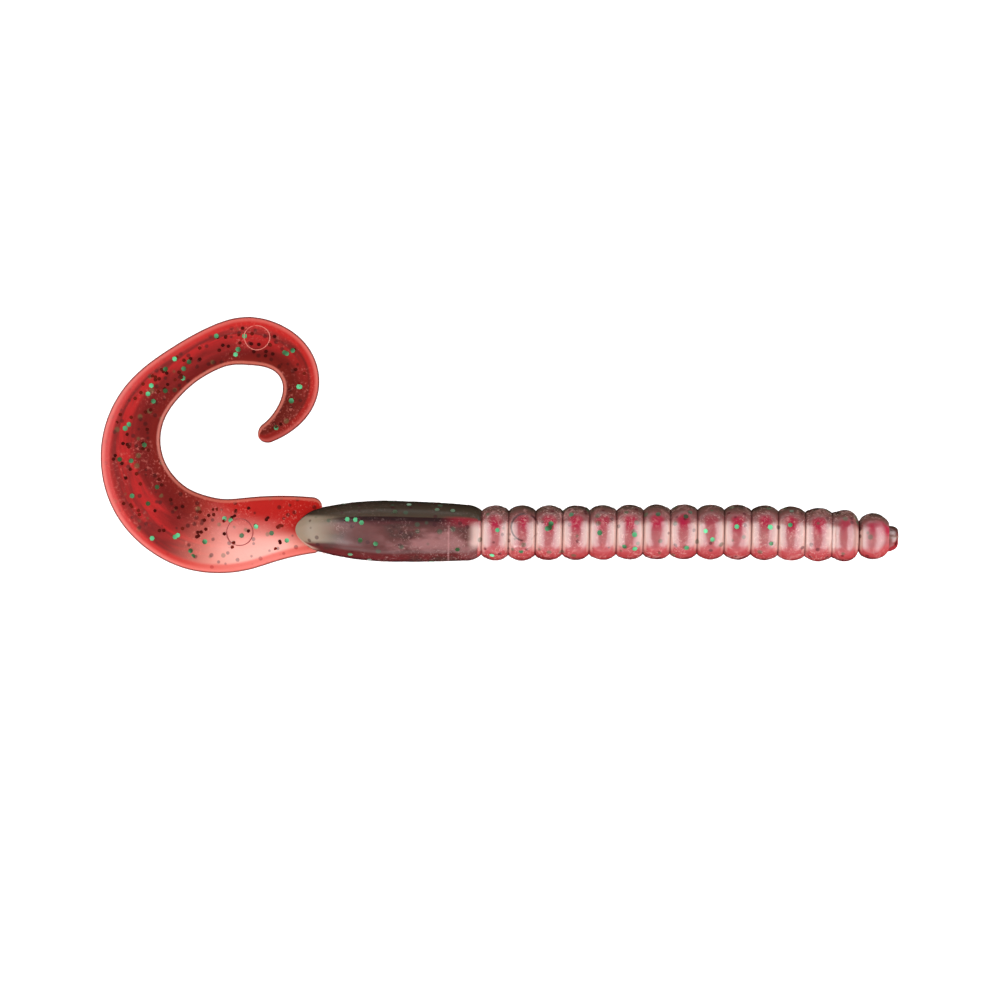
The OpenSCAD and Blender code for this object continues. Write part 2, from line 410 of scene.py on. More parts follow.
def collar_side(shader, level, along):
    """The collar below its olive back: plum that darkens towards the back's edge, with pale and dark haze."""
    # The first stop is painted edge shade along the belly's side.
    colour = shader.ramp(level, [
        (0.00, srgb(46, 12, 16)), (0.05, srgb(92, 32, 34)), (0.16, srgb(84, 38, 37)),
        (0.34, srgb(86, 47, 45)), (0.56, srgb(92, 52, 50)), (0.64, srgb(78, 36, 38)),
        (0.69, srgb(38, 12, 14)), (0.735, srgb(40, 18, 18)),
    ])
    cloud = shader.streaks(0.16, 0.28, 3.0, 0.2)
    below_line = shader.band(level, 0.7, 0.6)
    pale = shader.times(shader.band(cloud, 0.46, 0.64, 0.0, 0.7), below_line)
    pale = shader.times(pale, shader.band(level, 0.08, 0.3, 0.3, 1.0))
    pale = shader.times(pale, shader.band(along, COLLAR_REAR_X + 12.2, COLLAR_REAR_X + 17.2, 0.2, 1.0))
    colour = shader.paint(colour, srgb(154, 104, 104), pale)
    dark = shader.band(cloud, 0.48, 0.34, 0.0, 0.8)
    return shader.paint(colour, srgb(62, 42, 38), dark, below_line)


def collar_rear(shader, colour, along, across):
    """The collar's rear end: a painted beige reflection on its dome, and a painted pale rim highlight along
    the lip below it.
    """
    off_middle = shader.math("ABSOLUTE", shader.math("SUBTRACT", shader.attribute("across_mm"), 0.1))
    # Painted reflection of a soft light on the rear dome, in beige.
    rear_reflection = shader.band(along, COLLAR_REAR_X + 8.2, COLLAR_REAR_X + 2.7)
    rear_reflection = shader.times(rear_reflection, shader.band(off_middle, 2.4, 1.7))
    inside = shader.band(shader.math("ABSOLUTE", across), 0.96, 0.82)
    colour = shader.paint(colour, srgb(140, 124, 106), rear_reflection, inside, 0.9)
    # Painted pale rim highlight along the rear's lower lip.
    lip_highlight = shader.times(shader.band(across, -0.8, -0.9), shader.band(across, -0.99, -0.94))
    lip_highlight = shader.times(lip_highlight, shader.band(along, COLLAR_REAR_X + 4.2, COLLAR_REAR_X + 2.2))
    return shader.paint(colour, srgb(196, 156, 138), lip_highlight, 0.7)


def collar_front(shader, colour, along, level):
    """The mould's seam across the collar, then crimson, and a painted pale highlight on the flank next to the
    first groove.
    """
    from_seam = shader.math("ABSOLUTE", shader.math("SUBTRACT", along, COLLAR_SEAM_X))
    seam = shader.times(shader.band(from_seam, 0.22, 0.02), shader.band(level, 0.7, 0.55))
    colour = shader.paint(colour, srgb(196, 140, 140), seam, 0.3)
    crimson = shader.band(along, COLLAR_FRONT_X - 6.3, COLLAR_FRONT_X - 2.3)
    crimson = shader.times(crimson, shader.band(level, 0.56, 0.7), shader.band(level, 0.8, 0.74))
    colour = shader.paint(colour, srgb(150, 34, 50), crimson, 0.7)
    # Painted pale highlight on the flank next to the first groove.
    flank_highlight = shader.band(along, COLLAR_FRONT_X - 1.9, COLLAR_FRONT_X - 0.1)
    flank_highlight = shader.times(flank_highlight, shader.band(level, 0.14, 0.32), shader.band(level, 0.76, 0.56))
    return shader.paint(colour, srgb(206, 168, 158), flank_highlight, 0.75)


def collar_gel():
    """The same gel, thicker: an olive back with a sharp straight edge, and hazy plum streaks below it."""
    shader = Shader("collar_gel")
    across = shader.attribute("across")
    along = shader.attribute("along")
    wander = shader.swing(shader.streaks(0.09, 0.55), 0.03)
    level = shader.band_linear(shader.math("ADD", across, wander), -1.0, 1.0)
    # The last stop is painted edge shade along the back's side.
    back = shader.ramp(level, [
        (0.74, srgb(72, 58, 47)), (0.82, srgb(64, 52, 42)), (0.92, srgb(54, 44, 35)),
        (1.00, srgb(30, 24, 18)),
    ])
    colour = shader.paint(collar_side(shader, level, along), back, shader.band(level, 0.735, 0.75))
    colour = collar_rear(shader, colour, along, across)
    colour = collar_front(shader, colour, along, level)
    colour = add_deep_glitter(shader, colour, srgb(56, 78, 60), srgb(58, 22, 28))
    colour = flecks(shader, colour, srgb(196, 156, 150), shader.band(level, 0.74, 0.7, 0.06, 0.25))
    polish = shader.band(along, COLLAR_REAR_X + 9.2, COLLAR_REAR_X + 4.2, 0.9, 0.2)
    polish = shader.times(polish, shader.band(along, COLLAR_FRONT_X - 3.3, COLLAR_FRONT_X - 1.3, 1.0, 0.5))
    polish = shader.times(polish, shader.band(level, 0.76, 0.7, 0.5, 1.0))
    gel_surface(shader, colour, 0.12, 0.00005, 0.26, polish)
    return shader.material


def tail_rims(shader, colour, along):
    """The tail's bevelled edges: pink outside with a painted pale highlight on the outer lip, a painted pale
    highlight inside, and a thin dark outline of painted edge shade round both.
    """
    from_outer = shader.attribute("from_outer")
    from_inner = shader.attribute("from_inner")
    outer = shader.times(shader.band(from_outer, 1.7, 1.1), shader.band(along, 74.0, 86.0, 0.6, 0.2))
    colour = shader.paint(colour, srgb(190, 40, 36), outer)
    # Painted pale highlight along the outer lip.
    lip_highlight = shader.times(shader.band(from_outer, 0.95, 0.35), shader.band(along, 74.0, 86.0, 0.6, 0.3))
    colour = shader.paint(colour, srgb(214, 110, 100), lip_highlight)
    # Painted pale highlight along the inner edge.
    colour = shader.paint(colour, srgb(196, 104, 88), shader.band(from_inner, 0.75, 0.45), 0.65)
    # Painted edge shade: a thin dark outline round both edges.
    outline = shader.band(shader.math("MINIMUM", from_outer, from_inner), 0.30, 0.08)
    return shader.paint(colour, srgb(66, 16, 16), outline, 0.85)


def tail_gel():
    """Clear red gel: streaks that follow the curl, a painted pale highlight near the root, and a smoky tip.
    Its places along the tail are in millimetres from the root."""
    shader = Shader("tail_gel")
    along = shader.attribute("along")
    across = shader.attribute("across")
    streak = shader.swing(shader.streaks(0.05, 0.34, 4.0), 1.7)
    level = shader.band_linear(shader.math("ADD", across, streak), -1.0, 1.0)
    colour = shader.ramp(level, [
        (0.10, srgb(108, 24, 18)), (0.30, srgb(98, 18, 16)), (0.48, srgb(116, 20, 18)),
        (0.62, srgb(166, 24, 24)), (0.70, srgb(108, 18, 16)), (0.86, srgb(160, 28, 26)),
    ])
    root = shader.band(along, 24.0, 14.0)
    colour = shader.paint(colour, srgb(172, 28, 24), root, 0.75)
    slant = shader.math("ADD", across, shader.times(along, 0.09))
    slant = shader.math("ADD", slant, shader.times(streak, 0.3))
    # Painted pale highlight on the root, where it slopes down towards the table.
    root_highlight = shader.times(shader.band(slant, 0.3, 1.2), shader.band(across, -0.8, 0.7, 0.12, 1.0))
    colour = shader.paint(colour, srgb(226, 146, 130), root_highlight, root, 0.8)
    colour = shader.paint(colour, srgb(84, 26, 20), shader.band(along, 64.0, 82.0, 0.0, 0.85))
    colour = add_deep_glitter(shader, colour, srgb(84, 78, 48), srgb(52, 12, 10), 0.7)
    colour = flecks(shader, colour, srgb(214, 120, 108), 0.35)
    colour = tail_rims(shader, colour, along)
    polish = shader.band(shader.math("ADD", across, streak), -0.6, 0.6, 0.2, 0.7)
    polish = shader.times(polish, shader.band(shader.attribute("from_outer"), 1.6, 1.1, 1.0, 0.35))
    polish = shader.times(polish, shader.band(along, 60.0, 78.0, 1.0, 0.3))
    polish = shader.times(polish, shader.band(slant, 0.3, 1.2, 0.1, 1.0))
    gel_surface(shader, colour, 0.0, 0.00005, 0.3, polish)
    return shader.material


def glitter(name, light, dark, roughness, metallic, gloss, place_of=None):
    """Metal-faced film: each flake catches the light a little differently. place_of is Shader.place or
    Shader.object_place, which says where a flake lies, if the smoke-dark back dulls it."""
    shader = Shader(name)
    shade = shader.noise(420, 0.0, place=shader.object_place())
    colour = shader.ramp(shade, [(0.38, dark), (0.66, light)])
    if place_of:
        split = shader.add("ShaderNodeSeparateXYZ")
        shader.link(place_of(shader), split.inputs[0])
        smoke = shader.band(split.outputs[1], SMOKE_START_Y * MM, SMOKE_FULL_Y * MM, 0.0, 0.8)
        colour = shader.paint(colour, srgb(62, 66, 48), smoke)
    shader.set(
        Base_Color=colour,
        Roughness=roughness,
        Metallic=metallic,
        Coat_Weight=gloss,
        Coat_Roughness=0.3,
        Specular_IOR_Level=gloss,
        Normal=shader.bump(shader.noise(5000, 1.0, place=shader.object_place()), 0.00001),
    )
    return shader.material


def nub_gel():
    """The cut stub: brown above, red below, with a dark chip."""
    shader = Shader("nub_gel")
    level = shader.band_linear(shader.attribute("across"), -1.0, 1.0)
    colour = shader.ramp(level, [
        (0.10, srgb(140, 40, 46)), (0.42, srgb(126, 66, 62)), (0.55, srgb(134, 100, 92)),
        (0.75, srgb(104, 56, 54)), (1.00, srgb(52, 38, 32)),
    ])
    away = shader.add("ShaderNodeVectorMath", operation="DISTANCE")
    shader.link(shader.place(), away.inputs[0])
    away.inputs[1].default_value = [c * MM for c in CHIP]
    colour = shader.paint(colour, srgb(48, 10, 12), shader.band(away.outputs["Value"], 0.9 * MM, 0.4 * MM))
    gel_surface(shader, colour, 0.0, 0.00008, 0.3)
    return shader.material


def plain_gel(name, colour, roughness):
    """Thin gel of one colour, for crumbs and ridges."""
    shader = Shader(name)
    shader.set(Base_Color=colour, Roughness=roughness, Specular_IOR_Level=0.3)
    return shader.material


def table_top():
    """A white table that is lit from inside too, as a light table is, so that no shadow shows on it."""
    shader = Shader("table_top")
    shader.set(
        Base_Color=(0.65, 0.65, 0.65, 1.0),
        Roughness=0.8,
        Emission_Color=(1, 1, 1, 1),
        Emission_Strength=0.6,
    )
    return shader.material


# The second colour of each gel is the painted shade for the bottom of its grooves.
rib_material = rib_gel("rib_gel", srgb(66, 24, 24))
groove_material = rib_gel("groove_gel", srgb(66, 24, 24))
head_groove_material = rib_gel("head_groove_gel", srgb(124, 20, 30))
collar_groove_material = rib_gel("collar_groove_gel", srgb(66, 24, 24), at_collar=True)
head_material = rib_gel("head_gel", srgb(124, 20, 30), 0.34, 1.0, 0.85)
collar_material = collar_gel()
tail_material = tail_gel()
nub_material = nub_gel()
mark_material = plain_gel("mark_gel", srgb(150, 60, 58), 0.4)
pale_mark_material = plain_gel("pale_mark_gel", srgb(204, 112, 100), 0.4)
flash_material = plain_gel("flash_gel", srgb(214, 176, 170), 0.4)
GREEN_FILM = (srgb(96, 196, 138), srgb(48, 78, 42), 0.4, 0.3, 0.3)
green_material = glitter("green_glitter", *GREEN_FILM)
rib_green_material = glitter("rib_green_glitter", *GREEN_FILM, Shader.place)
collar_green_material = glitter("collar_green_glitter", *GREEN_FILM, Shader.object_place)
dark_material = glitter("dark_glitter", srgb(98, 28, 20), srgb(56, 14, 12), 0.7, 0.0, 0.0)


# ---------------------------------------------------------------- mesh helpers

def make_piece(name, vertices, faces, material, attributes=None, sharp_degrees=40):
    """A closed mesh from points in millimetres, smooth but for its sharp edges."""
    mesh = bpy.data.meshes.new(name)
    mesh.from_pydata([tuple(c * MM for c in v) for v in vertices], [], faces)
    mesh.materials.append(material)
    mesh.polygons.foreach_set("use_smooth", [True] * len(mesh.polygons))
    mesh.set_sharp_from_angle(angle=math.radians(sharp_degrees))
    for key, values in (attributes or {}).items():
        mesh.attributes.new(key, "FLOAT", "POINT").data.foreach_set("value", values)
    places = [c * MM for v in vertices for c in v]
    mesh.attributes.new("rest_place", "FLOAT_VECTOR", "POINT").data.foreach_set("vector", places)
    mesh.update()
    piece = bpy.data.objects.new(name, mesh)
    bpy.context.scene.collection.objects.link(piece)
    return piece


def skin(rings):
    """Faces that join rings of equal point count and close both ends with a fan round a middle point.
    The points are all rings in order, then the first end's middle, then the last end's."""
    count = len(rings[0])
    last = len(rings) - 1
    faces = []
    for k in range(last):
        for i in range(count):
            a = k * count + i
            b = k * count + (i + 1) % count
            faces.append((a, b, b + count, a + count))
    start = (last + 1) * count
    for i in range(count):
        j = (i + 1) % count
        faces.append((start, j, i))
        faces.append((start + 1, last * count + i, last * count + j))
    return faces


def crest_share(x):
    """0 in the middle of a groove and 1 on a rib's crest, or anywhere further from every groove."""
    return min(1.0, min(abs(x - groove) for groove in GROOVES) / GROOVE_REACH)


def middle(ring):
    return tuple(sum(p[i] for p in ring) / len(ring) for i in range(3))


def uneven(x, angle, size):
    """How far the hand-filled mould's surface is off round at a place, in millimetres."""
    place = Vector((x * 0.45, 1.7 * math.cos(angle), 1.7 * math.sin(angle)))
    return size * noise.noise(place) - size * 0.4


def parting_ridge(angle, x):
    """The faint ridge along both sides, where the two halves of the mould met."""
    off = min(abs(angle), abs(abs(angle) - math.pi))
    ragged = 0.5 + 0.5 * noise.noise(Vector((x * 1.9, 3.1, angle)))
    return PARTING_RIDGE * ragged * math.exp(-((off / PARTING_RIDGE_ANGLE) ** 2))


def turned(name, profile, centre, material, wobble):
    """A revolved piece along X from a profile of (x, radius), with its middle line at centre (x, y)."""
    rings = []
    marks = {"across": [], "across_mm": [], "along": [], "crest": []}

    def mark(x, radius, side):
        marks["across"].append(side)
        marks["across_mm"].append(side * radius)
        marks["along"].append(centre[0] + x)
        marks["crest"].append(crest_share(centre[0] + x))

    for x, radius in profile:
        ring = []
        for i in range(SEGMENTS):
            angle = -math.pi + 2 * math.pi * i / SEGMENTS
            where = centre[0] + x
            r = radius + uneven(where, angle, wobble) + parting_ridge(angle, where)
            ring.append((where, centre[1] + r * math.cos(angle), MIDDLE_Z + r * math.sin(angle)))
            mark(x, r, math.cos(angle))
        rings.append(ring)
    mark(profile[0][0], 0.0, 0.0)
    mark(profile[-1][0], 0.0, 0.0)
    vertices = [p for ring in rings for p in ring] + [middle(rings[0]), middle(rings[-1])]
    return make_piece(name, vertices, skin(rings), material, marks)


def smooth_share(value, start, end):
    """0 at start, 1 at end, and a smooth S between."""
    share = max(0.0, min(1.0, (value - start) / (end - start)))
    return share * share * (3 - 2 * share)


def sag(dx, radius):
    return radius - math.sqrt(radius * radius - dx * dx)


def crown_profile(top, radius, start, end, steps):
    """Points (x, radius) along a crowned outline whose highest place is at x = 0."""
    return [(x, top - sag(x, radius)) for x in np.linspace(start, end, steps)]


# ---------------------------------------------------------------- body

def node_place(node):
    """(middle x, middle y, half length, radius) of a round CAD node, in millimetres."""
    low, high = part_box(node)
    return (
        (low.x + high.x) / 2 / MM,
        (low.y + high.y) / 2 / MM,
        (high.x - low.x) / 2 / MM,
        (high.z - low.z) / 2 / MM,
    )


def rib_name(i):
    return f"rib_{i:02d}"


GROOVES = [node_place(f"neck_{i:02d}")[0] for i in range(1, RIBS + 2)]


def finish_piece(piece, slot, *nodes):
    """Hides the CAD nodes that a piece takes the place of. The slot is not used."""
    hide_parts(*nodes)


def make_rib(i):
    """Makes a rib, and gives its radius at the rear and at the front."""
    x, y, half, radius = node_place(rib_name(i))
    front_r = FIRST_RIB_FRONT_R if i == 1 else CROWN_R
    profile = crown_profile(radius, CROWN_R, -half, 0, 9) + crown_profile(radius, front_r, 0, half, 9)[1:]
    piece = turned(f"gel_rib_{i:02d}", profile, (x, y), rib_material, RIB_WOBBLE)
    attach(piece, rib_name(i))
    finish_piece(piece, "rib_gel", rib_name(i))
    return profile[0][1], profile[-1][1]


def make_neck(i, rear_radius, front_radius):
    """The groove between two ribs: a V with a rounded floor."""
    node = f"neck_{i:02d}"
    x, y, half, _ = node_place(node)
    floor = HEAD_GROOVE_FLOOR_R if i == 1 else GROOVE_FLOOR_R
    profile = []
    for t in np.linspace(-1, 1, 13):
        edge = rear_radius if t < 0 else front_radius
        inward = 1 - abs(t)
        profile.append((t * half, edge - (edge - floor) * (inward + inward * inward) / 2))
    material = {1: head_groove_material, RIBS + 1: collar_groove_material}.get(i, groove_material)
    piece = turned(f"gel_{node}", profile, (x, y), material, RIB_WOBBLE)
    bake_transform(piece)
    finish_piece(piece, "groove_gel", node)


def make_head():
    """Makes the head, whose highest place is behind its middle, and gives its radius at the rear."""
    x, y, half, radius = node_place("head_ball")
    crest = HEAD_CREST_X - x
    outline = crown_profile(radius, HEAD_CROWN_R, -half - crest, half - crest, 21)
    profile = [(crest + dx, r) for dx, r in outline]
    piece = turned("gel_head", profile, (x, y + HEAD_SHIFT_Y), head_material, HEAD_WOBBLE)
    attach(piece, "head")
    finish_piece(piece, "rib_gel", "head_ball")
    return profile[0][1]


def make_nub():
    """The stub left where the mould was filled: cut off unevenly, with a chip out of its lower edge.
    Its outline is (share of its half length, radius)."""
    x, y, half, radius = node_place("nose_nub")
    outline = ((-1.3, 2.05), (-0.8, 2.0), (-0.2, 1.86), (0.3, 1.7), (0.72, 1.42), (0.93, 1.08), (1.0, 0.5))
    profile = [(half * share, r * radius / NUB_R) for share, r in outline]
    piece = turned("gel_nub", profile, (x, y), nub_material, NUB_WOBBLE)
    for vertex in piece.data.vertices:
        place = Vector(vertex.co) / MM
        cut = max(0.0, (place.x - x) / half)
        vertex.co.x += cut * NUB_CUT * (noise.noise(place * 0.9) - 0.35) * MM
        into_chip = max(0.0, 1 - (place - Vector(CHIP)).length / CHIP_R)
        vertex.co.x -= CHIP_DEPTH * into_chip * MM
    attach(piece, "head")
    finish_piece(piece, "nub_gel", "nose_nub")


def collar_radius(x, top):
    """The collar's radius at a distance x ahead of its thickest place."""
    return top - sag(x, COLLAR_FRONT_R if x > 0 else COLLAR_REAR_R)


def make_collar():
    """Makes the collar: a dome, a long crowned barrel and a round shoulder. Gives its radius at the front."""
    x, y, half, _ = node_place("collar")
    low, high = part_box("collar")
    top = (high.z - low.z) / 2 / MM
    front = half
    thickest = front - COLLAR_THICKEST
    shoulder = front - COLLAR_SHOULDER_L
    dome_x = -half + COLLAR_DOME_L
    places = list(-half + COLLAR_DOME_L * (1 - np.cos(np.linspace(0.02, math.pi / 2, 22))))
    places += list(np.linspace(dome_x, shoulder, 60)[1:])
    places += list(np.linspace(shoulder, front, 8)[1:])
    profile = []
    for place in places:
        radius = collar_radius(place - thickest, top)
        if place > shoulder:
            radius = collar_radius(shoulder - thickest, top) - sag(place - shoulder, COLLAR_SHOULDER_R)
        if place < dome_x:
            radius *= math.sqrt(1 - ((dome_x - place) / COLLAR_DOME_L) ** 2)
        profile.append((place, radius))
    piece = turned("gel_collar", profile, (x, y), collar_material, COLLAR_WOBBLE)
    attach(piece, "collar")
    finish_piece(piece, "collar_gel", "collar")
    return profile[-1][1]


def make_body():
    """All the round pieces. Each groove starts and ends at the radius of the pieces that it lies between."""
    collar_face = make_collar()
    rib_faces = {i: make_rib(i) for i in range(1, RIBS + 1)}
    head_face = make_head()
    make_nub()
    for i in range(1, RIBS + 2):
        rear = collar_face if i == RIBS + 1 else rib_faces[i][1]
        front = head_face if i == 1 else rib_faces[i - 1][0]
        make_neck(i, rear, front)


# ---------------------------------------------------------------- tail

def eased(s, table):
    """A table's value at s, with its corners rounded off."""
    places, values = zip(*table)
    return sum(w * np.interp(s + d, places, values) for w, d in ((0.25, -EASE), (0.5, 0), (0.25, EASE)))


def tail_course():
    """Points (x, y) along the tail's middle line, a step apart."""
    start_x = COLLAR_REAR_X + ROOT_DEPTH
    middles = np.arange(0, TAIL_L, COURSE_STEP) + COURSE_STEP / 2
    turns = np.radians(eased(middles, TAIL_HEADING))
    xs = start_x + np.concatenate([[0], np.cumsum(COURSE_STEP * np.cos(turns))])
    ys = TAIL_START_Y + np.concatenate([[0], np.cumsum(COURSE_STEP * np.sin(turns))])
    return xs, ys


COURSE_X, COURSE_Y = tail_course()
COURSE_S = np.arange(len(COURSE_X)) * COURSE_STEP


def half_width(s):
    """Half the tail's width at s, rounded off at the root's corners and at the tip."""
    width = eased(s, TAIL_WIDTH)
    into_root = max(0.0, 1 - s / TAIL_ROOT_R)
    into_end = max(0.0, 1 - (TAIL_L - s) / TAIL_END_R)
    width -= 2 * TAIL_ROOT_R * (1 - math.sqrt(1 - into_root * into_root))
    return width / 2 * math.sqrt(max(0.004, 1 - into_end * into_end))


def tail_z(s):
    """The height of the tail's middle: it comes down from the collar's middle to the level of the belly."""
    lowest = cad_low.z / MM + TAIL_T / 2
    return lowest * smooth_share(s, DROP_START, DROP_START + DROP_L)


def tail_point(s, u, v):
    """A point of the tail: s along it, u across it towards the outside of the curl, v above its middle."""
    side = math.radians(eased(s, TAIL_HEADING) + 90)
    x = np.interp(s, COURSE_S, COURSE_X) + u * math.cos(side)
    y = np.interp(s, COURSE_S, COURSE_Y) + u * math.sin(side)
    return (float(x), float(y), tail_z(s) + v)


def web_place(k):
    """Where the tail's k-th joint lies along it."""
    return FIRST_WEB + TAIL_PITCH * (k - 1)


def top_contour(w):
    """Points (u, v) over the top of the tail's section, from the outer lip to the inner one."""
    size = min(1.0, w / (OUTER_BEVEL + INNER_BEVEL))
    top = TAIL_T / 2
    outer = [
        (0, 0), (0.04, 0.3), (0.14, 0.5), (0.34, 0.68), (0.6, 0.82), (0.84, 0.94), (1.0, 1.0), (1.15, 1.0),
    ]
    inner = [(1.2, 1.0), (1.0, 1.0), (0.72, 0.93), (0.42, 0.78), (0.2, 0.55), (0.06, 0.3), (0, 0)]
    points = [(w - OUTER_BEVEL * size * d, top * h) for d, h in outer]
    left, right = w - OUTER_BEVEL * size * 1.15, -w + INNER_BEVEL * size * 1.2
    for t in np.linspace(0, 1, 11)[1:-1]:
        points.append((left + (right - left) * t, top - DISH * size * math.sin(math.pi * t)))
    points += [(-w + INNER_BEVEL * size * d, top * h) for d, h in inner]
    return points


def tail_ring(s):
    """The points round one section of the tail, and each one's distance across in millimetres."""
    top = top_contour(half_width(s))
    contour = top + [(u, -v) for u, v in reversed(top[1:-1])]
    return [tail_point(s, u, v) for u, v in contour], [u for u, _ in contour]


def tail_marks(stations, across_rows):
    """The tail's attributes, in the order that skin() wants its points in: rings, then the two ends."""
    places = [(s, u) for s, row in zip(stations, across_rows) for u in row]
    places += [(stations[0], 0), (stations[-1], 0)]
    return {
        "along": [s for s, _ in places],
        "across_mm": [u for _, u in places],
        "across": [u / half_width(s) for s, u in places],
        "from_outer": [half_width(s) - u for s, u in places],
        "from_inner": [half_width(s) + u for s, u in places],
    }


def tail_stations(start, end):
    """Where a length of tail has its sections, closer together at the root's corners and round the tip."""
    places = list(np.linspace(start, end, int((end - start) / STATION_GAP) + 1))
    if start == 0:
        corner = TAIL_ROOT_R * (1 - np.cos(np.linspace(0, math.pi / 2, 9)))
        places = list(corner) + [s for s in places if s > TAIL_ROOT_R]
    if end < TAIL_L:
        return places
    rounding = TAIL_L - TAIL_END_R * (1 - np.sin(np.linspace(0, math.pi / 2, 13)))
    return [s for s in places if s < TAIL_L - TAIL_END_R] + list(rounding)


def piece_span(k):
    """Where the tail's k-th piece starts and ends: it reaches from the middle of one blade to the next."""
    start = 0 if k == 1 else web_place(k) - TAIL_PITCH / 2
    end = TAIL_L if k == TAIL_JOINTS else web_place(k) + TAIL_PITCH / 2
    return start, end


def bend_with_tail(piece, k):
    """Bakes a piece's place into its points. The sections at both ends of the tail's k-th piece
    are worked out, but not used."""
    ends = [Vector(point) for s in piece_span(k) for point in tail_ring(s)[0]]
    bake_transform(piece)


def make_tail():
    for k in range(1, TAIL_JOINTS + 1):
        stations = tail_stations(*piece_span(k))
        rings, across_rows = zip(*(tail_ring(s) for s in stations))
        vertices = [p for ring in rings for p in ring] + [middle(rings[0]), middle(rings[-1])]
        marks = tail_marks(stations, across_rows)
        piece = make_piece(f"gel_tail_{k}", vertices, skin(rings), tail_material, marks)
        bend_with_tail(piece, k)
        blade = "tail_tip" if k == TAIL_JOINTS else f"tail_blade_{k}"
        finish_piece(piece, "tail_gel", f"tail_web_{k}", blade)
        if k == 1:
            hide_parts("tail_root")


def make_tail_mark(k, place_s, place_u, radius, material):
    """A pin's round mark on the top of the tail: a fine ridge of gel that is uneven in height."""
    round_steps, ridge_steps = 48, 8
    vertices = []
    for i in range(round_steps):
        angle = 2 * math.pi * i / round_steps
        for j in range(ridge_steps):
            turn = 2 * math.pi * j / ridge_steps
            ragged = noise.noise(Vector((2 * math.cos(angle), 2 * math.sin(angle), k)))
            out = radius + MARK_RIDGE_R * math.cos(turn)
            rise = TAIL_T / 2 - DISH / 2 + MARK_RIDGE_R * (math.sin(turn) + 1.5 * ragged)
            s = place_s + out * math.cos(angle)
            u = place_u + out * math.sin(angle)
            vertices.append(tail_point(s, u, rise))
    faces = []
    for i in range(round_steps):
        for j in range(ridge_steps):
            a = i * ridge_steps
            b = (i + 1) % round_steps * ridge_steps
            next_j = (j + 1) % ridge_steps
            faces.append((a + j, b + j, b + next_j, a + next_j))
    piece = make_piece(f"pin_mark_{k}", vertices, faces, material, sharp_degrees=180)
    bend_with_tail(piece, k)


def make_flash():
    """Crumbs of gel that leaked between the mould's halves, along the collar's side."""
    rng = random.Random(CRUMB_SEED)
    _, y, _, radius = node_place("collar")
    shape = bmesh.new()
    crumbs = [(COLLAR_REAR_X + LARGE_CRUMB_FROM_REAR, LARGE_CRUMB_R)]
    crumbs += [(rng.uniform(*CRUMB_X), rng.uniform(*CRUMB_R)) for _ in range(CRUMBS)]
    for place_x, size in crumbs:
        edge = collar_radius(place_x - (COLLAR_FRONT_X - COLLAR_THICKEST), radius)
        made = bmesh.ops.create_icosphere(shape, subdivisions=2, radius=size * MM)["verts"]
        for vertex in made:
            vertex.co *= 1 + 0.5 * noise.noise(Vector(vertex.co) * 6000 + Vector((place_x, 0, 0)))
            vertex.co.z *= 0.5
            vertex.co += Vector((place_x, y - edge + 0.6 * size, CRUMB_Z)) * MM
    mesh = bpy.data.meshes.new("flash_collar")
    shape.to_mesh(mesh)
    shape.free()
    mesh.materials.append(flash_material)
    mesh.polygons.foreach_set("use_smooth", [True] * len(mesh.polygons))
    piece = bpy.data.objects.new("flash_collar", mesh)
    bpy.context.scene.collection.objects.link(piece)
    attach(piece, "collar")


# ---------------------------------------------------------------- glitter

def flake(vertices, faces, place, normal, spin, width):
    """Adds one six-sided flake that lies in the surface at place."""
    base = len(vertices)
    turn = Vector(normal).to_track_quat("Z", "Y").to_matrix() @ Matrix.Rotation(spin, 3, "Z")
    for height in (FLAKE_PROUD - FLAKE_T, FLAKE_PROUD):
        for i in range(6):
            angle = math.pi * i / 3
            corner = turn @ Vector((width / 2 * math.cos(angle), width / 2 * math.sin(angle), height))
            vertices.append(tuple(Vector(place) + corner))
    faces.append(tuple(base + i for i in range(5, -1, -1)))
    faces.append(tuple(base + 6 + i for i in range(6)))
    for i in range(6):
        j = (i + 1) % 6
        faces.append((base + i, base + j, base + 6 + j, base + 6 + i))


def flake_piece(name, flakes, material):
    """One piece of several flakes: flakes is a list of (place, normal, spin, width)."""
    vertices, faces = [], []
    for place, normal, spin, width in flakes:
        flake(vertices, faces, place, normal, spin, width)
    piece = make_piece(name, vertices, faces, material, sharp_degrees=20)
    return piece


def tilted(rng, normal, amount):
    return tuple(n + rng.uniform(-amount, amount) for n in normal)


def rib_flakes(rng, centre, half, radius, crown_r, count):
    """Flakes at random places round a rib or the head, whose highest place is at centre (x, y)."""
    x, y = centre
    flakes = []
    for _ in range(count):
        angle = rng.choice((-90, 90)) + rng.uniform(-FLAKE_SPREAD_DEG, FLAKE_SPREAD_DEG)
        angle = math.radians(angle)
        dx = rng.uniform(-0.7, 0.7) * half
        r = radius - sag(dx, crown_r)
        slope = dx / crown_r
        place = (x + dx, y + r * math.cos(angle), r * math.sin(angle))
        normal = (slope, math.cos(angle), math.sin(angle))
        normal = tilted(rng, normal, 0.1)
        spin = rng.uniform(0, 1)
        flakes.append((place, normal, spin, GREEN_D * rng.uniform(*FLAKE_SIZES)))
    return flakes


def tail_flakes(rng, start, end, count, width):
    """Flakes at random places on both faces of one stretch of tail."""
    flakes = []
    for i in range(count):
        s = rng.uniform(start, end)
        u = rng.uniform(-1, 1) * max(0.2, half_width(s) - FLAKE_EDGE_BAND)
        side = 1 if i % 3 else -1
        slope = (tail_z(s + 0.1) - tail_z(s - 0.1)) / 0.2
        turn = math.radians(eased(s, TAIL_HEADING))
        normal = (-side * slope * math.cos(turn), -side * slope * math.sin(turn), side)
        place = tail_point(s, u, side * (TAIL_T / 2 - TAIL_FLAKE_DEPTH))
        normal = tilted(rng, normal, 0.04)
        spin = rng.uniform(0, 1)
        flakes.append((place, normal, spin, width * rng.uniform(*FLAKE_SIZES)))
    return flakes


